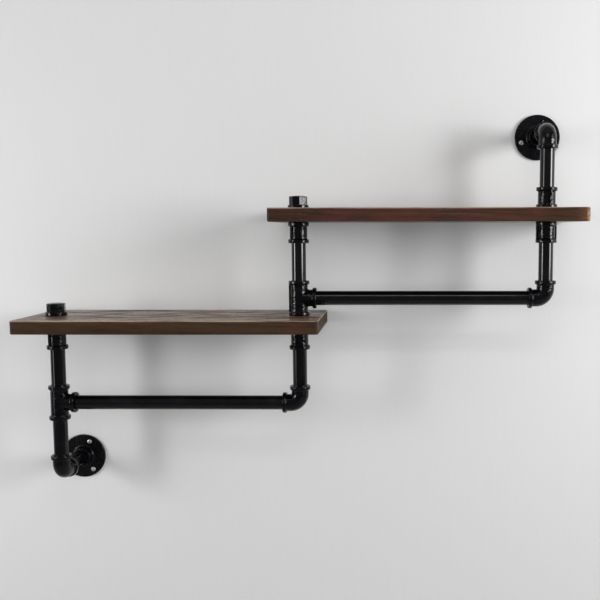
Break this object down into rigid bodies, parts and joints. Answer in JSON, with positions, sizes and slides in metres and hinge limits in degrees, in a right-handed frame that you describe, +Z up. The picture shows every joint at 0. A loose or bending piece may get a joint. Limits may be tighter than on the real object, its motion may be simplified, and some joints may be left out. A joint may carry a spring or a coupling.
{
  "type": "wall-mounted pipe shelving unit",
  "caption": "Staggered wall shelf of two stained boards on a run of black pipe, with hanging rails under the boards and a round screw-on flange at each end of the run.",
  "frame": {"origin": "centre of the lower wall flange's back face, on the wall plane", "axes": "+X along the wall to the right as seen from the room, +Y square into the wall, +Z up; the wall is the plane Y = 0"},
  "size_m": [1.031, 0.2375, 0.734],
  "materials": {
    "pipe_paint": "gloss black paint over steel pipe",
    "fitting_paint": "gloss black paint over malleable iron with a fine cast texture",
    "stained_wood": "dark walnut-brown stain, satin, fine open grain",
    "zinc_screw": "bright zinc plate"
  },
  "bodies": {
    "root": {"lower_wall_nipple": "pipe_paint", "left_post_bottom_nipple": "pipe_paint", "left_post_top_nipple": "pipe_paint", "left_board_nipple": "pipe_paint", "lower_rail": "pipe_paint", "centre_post_bottom_nipple": "pipe_paint", "centre_lower_board_nipple": "pipe_paint", "centre_post_top_nipple": "pipe_paint", "centre_upper_board_nipple": "pipe_paint", "upper_rail": "pipe_paint", "right_post_bottom_nipple": "pipe_paint", "right_board_nipple": "pipe_paint", "right_post_top_nipple": "pipe_paint", "upper_wall_nipple": "pipe_paint", "lower_wall_flange": "fitting_paint", "lower_wall_elbow": "fitting_paint", "left_post_tee": "fitting_paint", "left_post_coupling": "fitting_paint", "left_post_cap": "fitting_paint", "lower_rail_elbow": "fitting_paint", "centre_post_lower_coupling": "fitting_paint", "centre_post_tee": "fitting_paint", "centre_post_upper_coupling": "fitting_paint", "centre_post_cap": "fitting_paint", "upper_rail_elbow": "fitting_paint", "right_post_lower_coupling": "fitting_paint", "right_post_upper_coupling": "fitting_paint", "upper_wall_elbow": "fitting_paint", "upper_wall_flange": "fitting_paint", "lower_board": "stained_wood", "upper_board": "stained_wood", "lower_flange_screws": "zinc_screw", "upper_flange_screws": "zinc_screw"}
  },
  "joints": []
}
